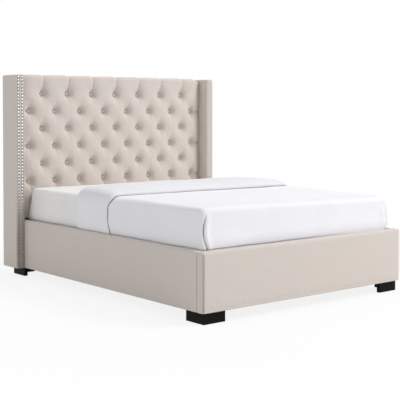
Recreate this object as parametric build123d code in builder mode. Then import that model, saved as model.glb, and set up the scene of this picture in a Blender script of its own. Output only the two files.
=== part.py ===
"""A wing-sided bed with a button-tufted headboard, upholstered rails, slats, mattress and quilt.

Millimetres. The origin is on the floor under the middle of the bed's outline, with the
headboard towards +Y, the foot towards -Y and +Z up. Left is -X.
"""

from build123d import *
import os

os.makedirs("parts", exist_ok=True)

# --- Driving dimensions -------------------------------------------------------------

# Mattress, fitted sheet and quilt, which the frame is made to hold
mattress_width = 1529.0
mattress_length = 1955.0
mattress_thickness = 278.0
mattress_corner_radius = 62.0
mattress_edge_radius = 42.0
sheet_thickness = 2.0
sheet_head_clearance = 4.0  # from the sheet to the headboard's pad
soft_gap = 0.3  # between one soft piece and the next
quilt_thickness = 11.0
quilt_side_clearance = 5.2  # from the turned-back band to the side rails
quilt_foot_clearance = 11.7  # from the quilt to the footboard
quilt_hem_height = 12.0  # from the slats up to the quilt's lower edge
bare_sheet_length = 690.0  # from the mattress's head end to the quilt
band_width = 380.0  # of the turned-back band, along the bed
band_rise = 44.0
band_spread = 2.0
band_edge_radius = 40.0

# The frame's heights
headboard_height = 1422.0  # floor to the top of the wings
foot_height = 66.0  # floor to the underside of the rails, footboard and wings
rail_height = 334.0

# Footboard and side rails, with their foam and fabric
footboard_thickness = 60.0
side_rail_thickness = 45.0
rail_padding = 5.0
rail_edge_radius = 12.0

# Wings, with their foam and fabric
wing_thickness = 62.0
wing_padding = 5.0
wing_edge_radius = 8.0
wing_bolt_shift = 0.25  # share of the space between two rails, from each rail to its bolt

# Nailheads, in two rows down each wing's front edge
nail_radius = 8.3
nail_dome = 3.4
nail_shank_radius = 0.9
nail_shank_length = 12.0
nail_pitch = 22.5
nail_row_inset = 16.5  # from the wing's outer side to its first row
nail_row_spacing = 28.0
nail_top_inset = 14.0  # from the wing's top to the first nail
nail_bottom_inset = 12.0  # the least from the wing's bottom to the last nail

# Headboard panel
pad_recess = 72.0  # from the wings' front edges back to the pad's face
pad_thickness = 66.0
pad_rise = 7.0  # the pad's top above the wings' tops
pad_edge_radius = 24.0
pad_side_gap = 0.3
pad_lower_gap = 6.0  # between the rails' tops and the pad's lower edge
pad_cap_thickness = 26.0  # over the top of the headboard's frame
backer_thickness = 12.0
back_panel_thickness = 4.0
post_width = 80.0
post_depth = 50.0
top_rail_height = 80.0
middle_rail_height = 90.0
bottom_rail_height = 300.0

# Button tufting: rows of seven and of eight buttons take turns
button_side_inset = 93.25  # from the pad's ends to the outermost buttons of a long row
button_row_spacing = 125.4
first_row_drop = 129.0  # from the wings' tops to the uppermost row
button_row_count = 6
short_row_buttons = 7
button_radius = 12.0
button_edge = 2.0
button_dome = 8.0
dimple_depth = 42.0
dimple_mouth_radius = 74.0
dimple_floor_margin = 2.0  # round the button at the bottom of its dimple
tie_radius = 1.5
tie_hole_radius = 2.5
tie_washer_radius = 7.0
tie_washer_thickness = 2.0

# Feet: two legs of timber that meet at a right angle
foot_leg_length = 155.0
foot_leg_thickness = 25.0
foot_inset = 20.0  # from the rails' outer faces and the footboard's face
head_foot_inset = 5.0  # from the headboard's back
foot_screw_inset = 22.0  # from a leg's free end to its screw
foot_screw_grip = 30.0  # of timber under the screw's head
foot_screw_reach = 30.0  # into the board above

# Slat deck
mattress_seat_depth = 59.0  # from the rails' tops down to the slats
slat_thickness = 18.0
slat_width = 70.0
slat_count = 13
slat_end_clearance = 2.0
slat_margin = 45.0  # from the footboard and from the posts to the nearest slat
slat_edge_radius = 3.0
ledger_width = 28.0
ledger_height = 40.0
ledger_end_gap = 60.0
ledger_screw_count = 8
ledger_screw_inset = 70.0
ledger_screw_reach = 22.0  # past the ledger, through the padding and into the rail
tape_width = 25.0
tape_thickness = 1.2
tape_inset = 363.0  # from the slats' ends to the middle of each tape

# Centre beam, its hangers, legs and glides
beam_width = 44.0
beam_height = 70.0
beam_end_gap = 2.0
hanger_gauge = 3.0
hanger_clearance = 0.5
hanger_seat = 40.0  # how far the beam's end sits in its hanger
hanger_flange = 30.0
hanger_screw_reach = 20.0
hanger_screw_inset = 16.0  # from the flange's top and bottom to its screws
centre_leg_count = 3
centre_leg_side = 44.0
leg_bolt_radius = 4.0
leg_bolt_length = 90.0
glide_radius = 20.0
glide_thickness = 10.0
glide_edge_radius = 1.5
glide_stem_radius = 4.0
glide_stem_length = 40.0
glide_stem_clearance = 0.1

# Angle brackets where the side rails meet the footboard and the posts
bracket_flange = 40.0
bracket_gauge = 4.0
bracket_height = 160.0
bracket_lift = 60.0  # from the rail's underside to the bracket
bracket_bolt_offset = 24.0  # from the inside corner to the bolts
bracket_bolt_spacing = 100.0
bolt_radius = 4.0
bolt_reach = 31.0  # past the bracket
bolt_head_radius = 7.0
bolt_head_height = 5.0

# Screws and their holes
screw_radius = 2.0
screw_head_radius = 4.2
screw_head_height = 2.4
hole_clearance = 0.3
bore_end_clearance = 2.0  # past the end of a bolt or stem in a blind hole

# --- Places worked out from them ----------------------------------------------------

quilt_inner_growth = sheet_thickness + soft_gap
quilt_outer_growth = quilt_inner_growth + quilt_thickness
mattress_side_gap = quilt_outer_growth + band_spread + quilt_side_clearance
mattress_foot_gap = quilt_outer_growth + quilt_foot_clearance
mattress_head_gap = sheet_thickness + sheet_head_clearance
headboard_thickness = pad_thickness + backer_thickness + post_depth + back_panel_thickness
deck_length = mattress_foot_gap + mattress_length + mattress_head_gap
bed_length = footboard_thickness + deck_length + headboard_thickness

foot_y = -bed_length / 2
head_y = bed_length / 2
footboard_back_y = foot_y + footboard_thickness
rail_inner_x = mattress_width / 2 + mattress_side_gap
rail_x = rail_inner_x + side_rail_thickness  # the rails' outer faces, which lie against the wings
rail_top = foot_height + rail_height

pad_y = head_y - headboard_thickness
backer_y = pad_y + pad_thickness
post_y = backer_y + backer_thickness
panel_y = head_y - back_panel_thickness
wing_x = rail_x + wing_thickness
wing_front_y = pad_y - pad_recess
post_x = rail_x - post_width
pad_bottom = rail_top + pad_lower_gap
pad_top = headboard_height + pad_rise
frame_top = pad_top - pad_cap_thickness

slat_top = rail_top - mattress_seat_depth
slat_bottom = slat_top - slat_thickness
deck_x = rail_inner_x - slat_end_clearance
ledger_x = rail_inner_x - ledger_width
ledger_start_y = footboard_back_y + ledger_end_gap
ledger_end_y = post_y - ledger_end_gap
beam_bottom = slat_bottom - beam_height

mattress_y = footboard_back_y + mattress_foot_gap
mattress_top = slat_top + mattress_thickness
band_head_y = mattress_y + mattress_length - bare_sheet_length

sides = ((-1, "left"), (1, "right"))
button_pitch = 2 * (rail_x - button_side_inset) / short_row_buttons
button_rows = [
    (short_row_buttons + row % 2, headboard_height - first_row_drop - row * button_row_spacing)
    for row in range(button_row_count)
]
button_places = [
    ((button - (count - 1) / 2) * button_pitch, height)
    for count, height in button_rows
    for button in range(count)
]


# --- Shared operations ----------------------------------------------------------------


def finish(piece, name):
    """Labels a finished piece and writes it to its own file."""
    piece.part.label = name
    export_step(piece.part, f"parts/{name}.step")


def span(side, near, far):
    """The low and high x of what lies from near to far of the centre line on one side."""
    return tuple(sorted((side * near, side * far)))


def evenly(first, last, count):
    """Places spread evenly from the first to the last."""
    return [first + (last - first) * step / (count - 1) for step in range(count)]


def cap_radius(radius, rise):
    """The radius of the sphere whose cap has a given radius and rise."""
    return (radius**2 + rise**2) / (2 * rise)


def block(x, y, z):
    """A plain block between low and high x, y and z."""
    with BuildPart() as made:
        with BuildSketch(Plane.XY.offset(z[0])):
            with Locations(((x[0] + x[1]) / 2, (y[0] + y[1]) / 2)):
                Rectangle(x[1] - x[0], y[1] - y[0])
        extrude(amount=z[1] - z[0])
    return made


def soft_block(x, y, z, radius, chosen):
    """A block whose chosen edges are rounded."""
    with BuildPart() as made:
        add(block(x, y, z).part)
        if radius > 0:
            fillet(chosen(made), radius)
    return made


def top_edges(made):
    """The four edges round the top."""
    return made.faces().sort_by(Axis.Z)[-1].edges()


def long_top_edges(made):
    """The two top edges that run along the bed."""
    return top_edges(made).filter_by(Axis.Y)


def top_and_front_edges(made):
    """The top's four edges and the two upright ones towards the foot."""
    uprights = made.edges().filter_by(Axis.Z)
    return top_edges(made) + uprights.group_by(Axis.Y)[0]


def all_but_lower_edges(made):
    """Every edge but the underside's."""
    return made.edges().filter_by(Axis.Z) + top_edges(made)


def upholster(core_name, cover_name, x, y, z, padding, end_padding, radius, chosen):
    """Makes a board and its foam and fabric, which leave the board's underside bare."""
    core = soft_block(
        (x[0] + padding, x[1] - padding),
        (y[0] + end_padding, y[1] - end_padding),
        (z[0], z[1] - padding),
        radius - padding,
        chosen,
    )
    finish(core, core_name)
    with BuildPart() as cover:
        add(soft_block(x, y, z, radius, chosen).part)
        add(core.part, mode=Mode.SUBTRACT)
    finish(cover, cover_name)


def fastener(shank_radius, shank_length, head_radius, head_height):
    """A round-headed bolt or screw: its head stands on the origin, its shank goes along -Z."""
    with BuildPart() as made:
        with BuildSketch(Plane.XY):
            Circle(head_radius)
        extrude(amount=head_height)
        with BuildSketch(Plane.XY):
            Circle(shank_radius)
        extrude(amount=-shank_length)
    return made


def screw(length):
    """A wood screw of one length."""
    return fastener(screw_radius, length, screw_head_radius, screw_head_height)


def bolt(length):
    """A bolt of one length."""
    return fastener(bolt_radius, length, bolt_head_radius, bolt_head_height)


def place_each(name, piece, planes):
    """Makes a group of equal pieces, one standing on each plane."""
    with BuildPart() as group:
        with Locations(*planes):
            add(piece.part)
    finish(group, name)


def standing(x, y, z, outward):
    """The plane at a point on a face, facing outward from it."""
    return Plane(origin=(x, y, z), z_dir=outward)


# --- Headboard --------------------------------------------------------------------------


def frame_rail_heights():
    """The low and high of the headboard's rails; the middle one passes between two button rows."""
    middle = headboard_height - first_row_drop - button_row_spacing * (button_row_count - 1) / 2
    half = middle_rail_height / 2
    return {
        "headboard_bottom_rail": (foot_height, foot_height + bottom_rail_height),
        "headboard_middle_rail": (middle - half, middle + half),
        "headboard_top_rail": (frame_top - top_rail_height, frame_top),
    }


def wing_bolt_heights():
    """Two bolts in each space between the headboard's rails."""
    bottom, middle, top = frame_rail_heights().values()
    heights = []
    for low, high in ((bottom[1], middle[0]), (middle[1], top[0])):
        shift = (high - low) * wing_bolt_shift
        heights += [low + shift, high - shift]
    return heights


def wing_bolt_planes(side):
    """Where the wing bolts' heads bear on one post's inner face."""
    middle_y = (post_y + panel_y) / 2
    return [standing(side * post_x, middle_y, height, (-side, 0, 0)) for height in wing_bolt_heights()]


def make_headboard_frame():
    """Two posts, drilled for the wing bolts, with three rails between them."""
    depth = (post_y, panel_y)
    for side, word in sides:
        with BuildPart() as post:
            add(block(span(side, post_x, rail_x), depth, (foot_height, frame_top)).part)
            with Locations(*wing_bolt_planes(side)):
                Hole(bolt_radius + hole_clearance, post_width)
        finish(post, f"headboard_post_{word}")
    for name, height in frame_rail_heights().items():
        finish(block((-post_x, post_x), depth, height), name)


def make_backer():
    """The plywood that the pad lies on, drilled for the button ties."""
    with BuildPart() as tufting_backer:
        add(block((-rail_x, rail_x), (backer_y, post_y), (pad_bottom, frame_top)).part)
        with BuildSketch(Plane.XZ.offset(-backer_y)):
            with Locations(*button_places):
                Circle(tie_hole_radius)
        extrude(amount=-backer_thickness, mode=Mode.SUBTRACT)
    finish(tufting_backer, "tufting_backer")


def make_tufted_pad():
    """Foam and fabric with a dimple at each button, carried over the top of the frame."""
    half_width = rail_x - pad_side_gap
    with BuildPart() as tufted_pad:
        with BuildSketch(Plane.YZ.offset(-half_width)):
            with BuildLine():
                Polyline(
                    (pad_y, pad_bottom),
                    (backer_y, pad_bottom),
                    (backer_y, frame_top),
                    (head_y, frame_top),
                    (head_y, pad_top),
                    (pad_y, pad_top),
                    close=True,
                )
            make_face()
        extrude(amount=2 * half_width)
        front = tufted_pad.faces().filter_by(Axis.Y).sort_by(Axis.Y)[0]
        lower_edge = front.edges().sort_by(Axis.Z)[0]
        fillet(front.edges() - [lower_edge], pad_edge_radius)
        floor_radius = button_radius + dimple_floor_margin
        spots = [Plane(origin=(x, pad_y, z), z_dir=(0, 1, 0)) for x, z in button_places]
        from_face = (Align.CENTER, Align.CENTER, Align.MIN)
        with Locations(*spots):
            Cone(dimple_mouth_radius, floor_radius, dimple_depth, align=from_face, mode=Mode.SUBTRACT)
            Cylinder(tie_hole_radius, pad_thickness, align=from_face, mode=Mode.SUBTRACT)
    finish(tufted_pad, "tufted_pad")


def make_tuft_buttons():
    """Covered buttons, each with its tie through the pad and a washer behind the backer."""
    tie_length = pad_thickness - dimple_depth + backer_thickness
    crown = cap_radius(button_radius, button_dome - button_edge)
    with BuildPart() as button:
        with BuildSketch(Plane.XZ):
            with BuildLine():
                Polyline(
                    (0, button_dome),
                    (0, -tie_length - tie_washer_thickness),
                    (tie_washer_radius, -tie_length - tie_washer_thickness),
                    (tie_washer_radius, -tie_length),
                    (tie_radius, -tie_length),
                    (tie_radius, 0),
                    (button_radius, 0),
                    (button_radius, button_edge),
                )
                RadiusArc((button_radius, button_edge), (0, button_dome), -crown)
            make_face()
        revolve(axis=Axis.Z)
    seat_y = pad_y + dimple_depth
    place_each("tuft_buttons", button, [standing(x, seat_y, z, (0, -1, 0)) for x, z in button_places])


def make_wings():
    """A padded board at each end of the headboard, bolted to the post beside it."""
    bolts = []
    for side, word in sides:
        upholster(
            f"wing_core_{word}",
            f"wing_cover_{word}",
            span(side, rail_x, wing_x),
            (wing_front_y, head_y),
            (foot_height, headboard_height),
            wing_padding,
            wing_padding,
            wing_edge_radius,
            all_but_lower_edges,
        )
        bolts += wing_bolt_planes(side)
    place_each("wing_bolts", bolt(post_width + bolt_reach), bolts)


def make_nailheads():
    """Domed nails in two rows down the front of each wing."""
    with BuildPart() as nail:
        with BuildSketch(Plane.XZ):
            with BuildLine():
                Polyline(
                    (0, nail_dome),
                    (0, -nail_shank_length),
                    (nail_shank_radius, -nail_shank_length),
                    (nail_shank_radius, 0),
                    (nail_radius, 0),
                )
                RadiusArc((nail_radius, 0), (0, nail_dome), -cap_radius(nail_radius, nail_dome))
            make_face()
        revolve(axis=Axis.Z)
    top = headboard_height - nail_top_inset
    count = int((top - foot_height - nail_bottom_inset) / nail_pitch) + 1
    for side, word in sides:
        first = wing_x - nail_row_inset
        places = [
            standing(side * x, wing_front_y, top - nail * nail_pitch, (0, -1, 0))
            for x in (first, first - nail_row_spacing)
            for nail in range(count)
        ]
        place_each(f"wing_nailheads_{word}", nail, places)


def make_back_panel():
    """The fabric-faced board that closes the headboard's back."""
    panel = block((-rail_x, rail_x), (panel_y, head_y), (foot_height, frame_top))
    finish(panel, "headboard_back_panel")


# --- Rails, footboard and feet ----------------------------------------------------------


def make_side_rails():
    """The two upholstered side rails, which run from the footboard to the posts."""
    for side, word in sides:
        upholster(
            f"side_rail_board_{word}",
            f"side_rail_cover_{word}",
            span(side, rail_inner_x, rail_x),
            (footboard_back_y, post_y),
            (foot_height, rail_top),
            rail_padding,
            0,
            rail_edge_radius,
            long_top_edges,
        )


def make_footboard():
    """The upholstered footboard, which is as wide as the frame."""
    upholster(
        "footboard_board",
        "footboard_cover",
        (-rail_x, rail_x),
        (foot_y, footboard_back_y),
        (foot_height, rail_top),
        rail_padding,
        rail_padding,
        rail_edge_radius,
        top_and_front_edges,
    )


def foot_screw_places(side, end, outer_x, outer_y):
    """Where a foot's three screws go: at its corner and near each leg's free end."""
    centre = foot_leg_thickness / 2
    near_end = foot_leg_length - foot_screw_inset
    corner = (outer_x - side * centre, outer_y - end * centre)
    return [
        corner,
        (outer_x - side * near_end, corner[1]),
        (corner[0], outer_y - end * near_end),
    ]


def make_feet():
    """An L-shaped foot under each corner, held by screws in counterbored holes."""
    ends = (
        (-1, "footboard", foot_y + foot_inset),
        (1, "headboard", head_y - head_foot_inset),
    )
    recess = foot_height - foot_screw_grip
    screws = []
    for side, word in sides:
        outer_x = side * (rail_x - foot_inset)
        for end, end_word, outer_y in ends:
            screw_places = foot_screw_places(side, end, outer_x, outer_y)
            with BuildPart() as foot:
                with BuildSketch(Plane.XY):
                    with Locations((outer_x, outer_y)):
                        corner = (Align.MAX if side > 0 else Align.MIN, Align.MAX if end > 0 else Align.MIN)
                        Rectangle(foot_leg_length, foot_leg_thickness, align=corner)
                        Rectangle(foot_leg_thickness, foot_leg_length, align=corner)
                extrude(amount=foot_height)
                with Locations(*[standing(x, y, 0, (0, 0, -1)) for x, y in screw_places]):
                    CounterBoreHole(
                        screw_radius + hole_clearance,
                        screw_head_radius + hole_clearance,
                        recess,
                        foot_height,
                    )
            finish(foot, f"{end_word}_foot_{word}")
            screws += [standing(x, y, recess, (0, 0, -1)) for x, y in screw_places]
    place_each("foot_screws", screw(foot_screw_grip + foot_screw_reach), screws)


def make_corner_brackets():
    """Steel angles inside the four corners, with their bolts."""
    height = (foot_height + bracket_lift, foot_height + bracket_lift + bracket_height)
    middle = sum(height) / 2
    rows = (middle - bracket_bolt_spacing / 2, middle + bracket_bolt_spacing / 2)
    corners = [
        (side, end, corner_y)
        for side, word in sides
        for end, corner_y in ((1, footboard_back_y), (-1, post_y))
    ]
    bolts = []
    with BuildPart() as corner_brackets:
        for side, end, corner_y in corners:
            corner_x = side * rail_inner_x
            holes = []
            for row in rows:
                along = corner_y + end * bracket_bolt_offset
                across = corner_x - side * bracket_bolt_offset
                holes.append(standing(corner_x - side * bracket_gauge, along, row, (-side, 0, 0)))
                holes.append(standing(across, corner_y + end * bracket_gauge, row, (0, end, 0)))
            with BuildSketch(Plane.XY.offset(height[0])):
                with Locations((corner_x, corner_y)):
                    corner = (Align.MAX if side > 0 else Align.MIN, Align.MIN if end > 0 else Align.MAX)
                    Rectangle(bracket_gauge, bracket_flange, align=corner)
                    Rectangle(bracket_flange, bracket_gauge, align=corner)
            extrude(amount=bracket_height)
            with Locations(*holes):
                Hole(bolt_radius + hole_clearance, bracket_gauge)
            bolts += holes
    finish(corner_brackets, "corner_brackets")
    place_each("corner_bolts", bolt(bracket_gauge + bolt_reach), bolts)


# --- Slat deck --------------------------------------------------------------------------


def make_ledgers():
    """The strips along the side rails that carry the slats, with their screws."""
    screw_rows = evenly(
        ledger_start_y + ledger_screw_inset,
        ledger_end_y - ledger_screw_inset,
        ledger_screw_count,
    )
    middle = slat_bottom - ledger_height / 2
    screws = []
    for side, word in sides:
        ledger = block(
            span(side, ledger_x, rail_inner_x),
            (ledger_start_y, ledger_end_y),
            (slat_bottom - ledger_height, slat_bottom),
        )
        finish(ledger, f"slat_ledger_{word}")
        screws += [
            standing(side * ledger_x, y, middle, (-side, 0, 0))
            for y in screw_rows
        ]
    place_each("ledger_screws", screw(ledger_width + ledger_screw_reach), screws)


def make_slats():
    """The slats, and the two tapes under them that keep them spaced."""
    centres = evenly(
        footboard_back_y + slat_margin + slat_width / 2,
        post_y - slat_margin - slat_width / 2,
        slat_count,
    )
    half = slat_width / 2
    for number, y in enumerate(centres, start=1):
        slat = soft_block(
            (-deck_x, deck_x),
            (y - half, y + half),
            (slat_bottom, slat_top),
            slat_edge_radius,
            lambda made: made.edges().filter_by(Axis.X),
        )
        finish(slat, f"slat_{number:02d}")
    with BuildPart() as slat_tapes:
        for side, word in sides:
            x = span(side, deck_x - tape_inset - tape_width / 2, deck_x - tape_inset + tape_width / 2)
            y = (centres[0] - half, centres[-1] + half)
            add(block(x, y, (slat_bottom - tape_thickness, slat_bottom)).part)
    finish(slat_tapes, "slat_tapes")


def leg_places():
    """The centre legs' places along the bed."""
    spaces = centre_leg_count + 1
    return [footboard_back_y + (post_y - footboard_back_y) * leg / spaces for leg in range(1, spaces)]


def make_centre_beam():
    """The beam under the slats, drilled for the bolts in its legs."""
    hole_depth = leg_bolt_length / 2 + bore_end_clearance
    with BuildPart() as centre_beam:
        add(
            block(
                (-beam_width / 2, beam_width / 2),
                (footboard_back_y + beam_end_gap, post_y - beam_end_gap),
                (beam_bottom, slat_bottom),
            ).part
        )
        with Locations(*[standing(0, y, beam_bottom, (0, 0, -1)) for y in leg_places()]):
            Hole(leg_bolt_radius + hole_clearance, hole_depth)
    finish(centre_beam, "centre_beam")


def make_centre_legs():
    """The legs under the centre beam, their bolts and their levelling glides."""
    hole_depth = leg_bolt_length / 2 + bore_end_clearance
    with BuildPart() as leg_bolt:
        Cylinder(leg_bolt_radius, leg_bolt_length)
    for number, y in enumerate(leg_places(), start=1):
        with BuildPart() as leg:
            half = centre_leg_side / 2
            add(block((-half, half), (y - half, y + half), (glide_thickness, beam_bottom)).part)
            with Locations(standing(0, y, beam_bottom, (0, 0, 1))):
                Hole(leg_bolt_radius + hole_clearance, hole_depth)
            with Locations(standing(0, y, glide_thickness, (0, 0, -1))):
                Hole(glide_stem_radius + glide_stem_clearance, glide_stem_length + bore_end_clearance)
        finish(leg, f"centre_leg_{number}")
        with BuildPart() as glide:
            with BuildSketch(Plane.XY):
                with Locations((0, y)):
                    Circle(glide_radius)
            extrude(amount=glide_thickness)
            fillet(glide.edges().sort_by(Axis.Z)[0], glide_edge_radius)
            with BuildSketch(Plane.XY.offset(glide_thickness)):
                with Locations((0, y)):
                    Circle(glide_stem_radius)
            extrude(amount=glide_stem_length)
        finish(glide, f"levelling_glide_{number}")
    place_each("centre_leg_bolts", leg_bolt, [standing(0, y, beam_bottom, (0, 0, 1)) for y in leg_places()])


def make_hangers():
    """The steel stirrups that hold the beam's ends, with their screws."""
    pocket = beam_width / 2 + hanger_clearance
    outer = pocket + hanger_gauge
    low = beam_bottom - hanger_clearance
    screw_x = outer + hanger_flange / 2
    screw_rows = (low + hanger_screw_inset, slat_bottom - hanger_screw_inset)
    screws = []
    for end, name, face_y in ((1, "foot", footboard_back_y), (-1, "head", post_y)):
        seat = tuple(sorted((face_y, face_y + end * (beam_end_gap + hanger_seat))))
        plate = tuple(sorted((face_y, face_y + end * hanger_gauge)))
        with BuildPart() as hanger:
            add(block((-outer, outer), seat, (low - hanger_gauge, slat_bottom)).part)
            add(block((-pocket, pocket), seat, (low, slat_bottom)).part, mode=Mode.SUBTRACT)
            for side, word in sides:
                x = span(side, pocket, outer + hanger_flange)
                add(block(x, plate, (low - hanger_gauge, slat_bottom)).part)
            heads = [
                standing(side * screw_x, face_y + end * hanger_gauge, row, (0, end, 0))
                for side, word in sides
                for row in screw_rows
            ]
            with Locations(*heads):
                Hole(screw_radius + hole_clearance, hanger_gauge)
        finish(hanger, f"beam_hanger_{name}")
        screws += heads
    place_each("hanger_screws", screw(hanger_gauge + hanger_screw_reach), screws)


# --- Mattress, sheet and quilt ----------------------------------------------------------


def mattress_form(growth):
    """The mattress's rounded block, thicker by the growth on its sides and top."""
    with BuildPart() as made:
        with BuildSketch(Plane.XY.offset(slat_top)):
            with Locations((0, mattress_y + mattress_length / 2)):
                RectangleRounded(
                    mattress_width + 2 * growth,
                    mattress_length + 2 * growth,
                    mattress_corner_radius + growth,
                )
        extrude(amount=mattress_thickness + growth)
        fillet(made.faces().sort_by(Axis.Z)[-1].edges(), mattress_edge_radius + growth)
    return made


def make_mattress():
    """The mattress, rounded along its lower edge too."""
    with BuildPart() as mattress:
        add(mattress_form(0).part)
        fillet(mattress.faces().sort_by(Axis.Z)[0].edges(), mattress_edge_radius)
    finish(mattress, "mattress")


def make_fitted_sheet():
    """The sheet stretched over the mattress, down to where its lower edge rounds under."""
    with BuildPart() as fitted_sheet:
        add(mattress_form(sheet_thickness).part)
        add(mattress_form(0).part, mode=Mode.SUBTRACT)
        split(bisect_by=Plane.XY.offset(slat_top + mattress_edge_radius), keep=Keep.TOP)
    finish(fitted_sheet, "fitted_sheet")


def make_quilt():
    """The quilt over the foot end of the mattress, with the band that is turned back on it."""
    half = mattress_width / 2 + quilt_outer_growth + band_spread
    band_y = (band_head_y - band_width, band_head_y)
    band_top = mattress_top + quilt_outer_growth + band_rise
    hem = slat_top + quilt_hem_height
    with BuildPart() as quilt:
        add(mattress_form(quilt_outer_growth).part)
        split(bisect_by=Plane.XZ.offset(-band_head_y), keep=Keep.TOP)
        add(soft_block((-half, half), band_y, (slat_top, band_top), band_edge_radius, top_edges).part)
        add(mattress_form(quilt_inner_growth).part, mode=Mode.SUBTRACT)
        split(bisect_by=Plane.XY.offset(hem), keep=Keep.TOP)
    finish(quilt, "quilt")


make_headboard_frame()
make_backer()
make_tufted_pad()
make_tuft_buttons()
make_wings()
make_nailheads()
make_back_panel()
make_side_rails()
make_footboard()
make_feet()
make_corner_brackets()
make_ledgers()
make_slats()
make_centre_beam()
make_centre_legs()
make_hangers()
make_mattress()
make_fitted_sheet()
make_quilt()
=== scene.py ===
"""The finishes of a winged, button-tufted bed: fabric, padding, timber, metal and bedding.

Metres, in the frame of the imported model: the origin is on the floor under the middle of the
bed, with the headboard towards +Y, the foot towards -Y and +Z up. Left is -X.
"""

import math

import bmesh
import bpy
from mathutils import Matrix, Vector, noise


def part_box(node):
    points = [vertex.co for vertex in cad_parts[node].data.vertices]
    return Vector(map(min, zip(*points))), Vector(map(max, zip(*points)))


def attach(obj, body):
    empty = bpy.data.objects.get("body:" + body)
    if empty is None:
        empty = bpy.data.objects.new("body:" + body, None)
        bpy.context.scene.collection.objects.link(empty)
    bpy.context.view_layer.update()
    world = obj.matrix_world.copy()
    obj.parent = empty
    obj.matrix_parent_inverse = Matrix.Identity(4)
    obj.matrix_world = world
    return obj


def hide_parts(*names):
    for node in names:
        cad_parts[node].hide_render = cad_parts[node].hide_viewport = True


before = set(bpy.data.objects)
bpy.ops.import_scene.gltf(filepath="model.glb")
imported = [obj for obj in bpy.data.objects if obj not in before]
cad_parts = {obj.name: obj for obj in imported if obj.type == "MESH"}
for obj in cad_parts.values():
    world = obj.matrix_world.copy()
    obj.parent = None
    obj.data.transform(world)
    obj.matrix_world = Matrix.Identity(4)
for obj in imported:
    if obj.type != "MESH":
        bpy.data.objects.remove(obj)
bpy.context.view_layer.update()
scene = bpy.context.scene

SIDES = ("left", "right")

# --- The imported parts' places ---

PAD_LOW, PAD_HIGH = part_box("tufted_pad")
MATTRESS_LOW, MATTRESS_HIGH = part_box("mattress")
QUILT_LOW, QUILT_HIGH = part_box("quilt")
RAIL_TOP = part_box("side_rail_cover_left")[1].z
BACKER_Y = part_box("tufting_backer")[0].y
FRAME_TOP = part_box("headboard_top_rail")[1].z
BUTTONS_LOW, BUTTONS_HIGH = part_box("tuft_buttons")


# --- Materials ---


class Nodes:
    """A node tree, with a few ways to add nodes."""

    def __init__(self, tree):
        self.tree = tree

    def feed(self, node, inputs):
        """Links outputs to a node's inputs, or sets the inputs to plain values."""
        for key, value in inputs.items():
            if isinstance(value, bpy.types.NodeSocket):
                self.tree.links.new(value, node.inputs[key])
            else:
                node.inputs[key].default_value = value

    def add(self, kind, inputs=None, **settings):
        """Adds a node, sets its properties and feeds its inputs."""
        node = self.tree.nodes.new(kind)
        for key, value in settings.items():
            setattr(node, key, value)
        self.feed(node, inputs or {})
        return node

    def math(self, operation, first, second=0.0):
        """One arithmetic step."""
        return self.add("ShaderNodeMath", {0: first, 1: second}, operation=operation).outputs[0]

    def split(self, vector):
        """A vector's three components."""
        return self.add("ShaderNodeSeparateXYZ", {0: vector}).outputs

    def ramp(self, value, low, high, first=0.0, last=1.0, curve="LINEAR"):
        """Values from low to high become values from first to last, and no further."""
        inputs = {"Value": value, "From Min": low, "From Max": high, "To Min": first, "To Max": last}
        node = self.add("ShaderNodeMapRange", inputs, clamp=True, interpolation_type=curve)
        return node.outputs["Result"]

    def seen_directly(self):
        """1 for what the camera sees, reflected too, and 0 for light on the object."""
        path = self.add("ShaderNodeLightPath")
        total = path.outputs["Is Camera Ray"]
        for name in ("Is Glossy Ray", "Is Transmission Ray"):
            total = self.math("MAXIMUM", total, path.outputs[name])
        return total


class Look(Nodes):
    """A node material under construction."""

    def __init__(self, name, roughness, metallic=0.0, sheen=0.0, specular=0.5):
        self.material = bpy.data.materials.new(name)
        self.material.use_nodes = True
        super().__init__(self.material.node_tree)
        self.shader = self.tree.nodes["Principled BSDF"]
        self.feed(self.shader, {"Roughness": roughness, "Metallic": metallic})
        self.feed(self.shader, {"Sheen Weight": sheen, "Sheen Roughness": 0.4})
        self.feed(self.shader, {"Specular IOR Level": specular})
        texture = self.add("ShaderNodeTexCoord")
        self.place = texture.outputs["Object"]
        self.facing = texture.outputs["Normal"]

    def scaled(self, place, scale):
        """A place stretched along each axis."""
        return self.add("ShaderNodeMapping", {"Vector": place, "Scale": scale}).outputs["Vector"]

    def noise(self, place, scale, detail=2.0, roughness=0.5):
        """Smooth random values, from 0 to 1."""
        inputs = {"Vector": place, "Scale": scale, "Detail": detail, "Roughness": roughness}
        return self.add("ShaderNodeTexNoise", inputs).outputs["Fac"]

    def blend(self, share, first, second):
        """A colour between two colours."""
        inputs = {"Factor": share}
        for key, colour in (("A", first), ("B", second)):
            inputs[key] = colour if isinstance(colour, bpy.types.NodeSocket) else (*colour, 1.0)
        return self.add("ShaderNodeMix", inputs, data_type="RGBA").outputs["Result"]

    def with_painted_shade(self, colour, dark):
        """A colour with painted shade, as dark as the form's points are noted."""
        # The attribute named crease holds the painted shade.
        inside = self.add("ShaderNodeAttribute", attribute_name="crease").outputs["Fac"]
        return self.blend(inside, colour, dark)

    def relief(self, height, distance, strength=1.0, under=None):
        """A bump, over another bump if there is one."""
        inputs = {"Strength": strength, "Distance": distance, "Height": height}
        if under is not None:
            inputs["Normal"] = under
        return self.add("ShaderNodeBump", inputs).outputs["Normal"]

    def paint(self, colour, normal, roughness=None):
        """Ends the material: its colour, its relief and, where it varies, its roughness."""
        self.feed(self.shader, {"Base Color": colour, "Normal": normal})
        if roughness is not None:
            self.feed(self.shader, {"Roughness": roughness})
        return self.material


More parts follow.
